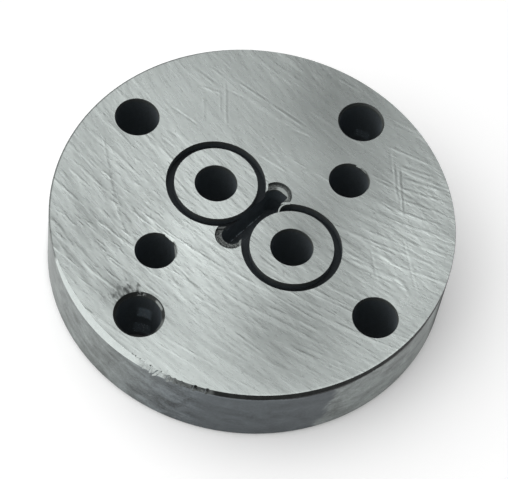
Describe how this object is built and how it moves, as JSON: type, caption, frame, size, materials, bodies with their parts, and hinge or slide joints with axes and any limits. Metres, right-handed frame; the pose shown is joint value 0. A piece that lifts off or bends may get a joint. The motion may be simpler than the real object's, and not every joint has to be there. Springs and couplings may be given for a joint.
{
  "type": "valve case lid",
  "caption": "Round flat steel lid for a valve case, with ports in raised lands, ring grooves, a drain slot, and bolt and dowel holes.",
  "frame": {"origin": "centre of the plain back face, which the lid lies on", "axes": "+Z out of the working face, the thin way through the disc; +X and +Y halfway between the bolt holes, with the ports on the line from -X+Y to +X-Y"},
  "size_m": [0.06, 0.06, 0.012],
  "materials": {
    "lapped_steel": "lapped by hand, satin, with long scratches"
  },
  "bodies": {
    "root": {"lid": "lapped_steel"}
  },
  "joints": []
}
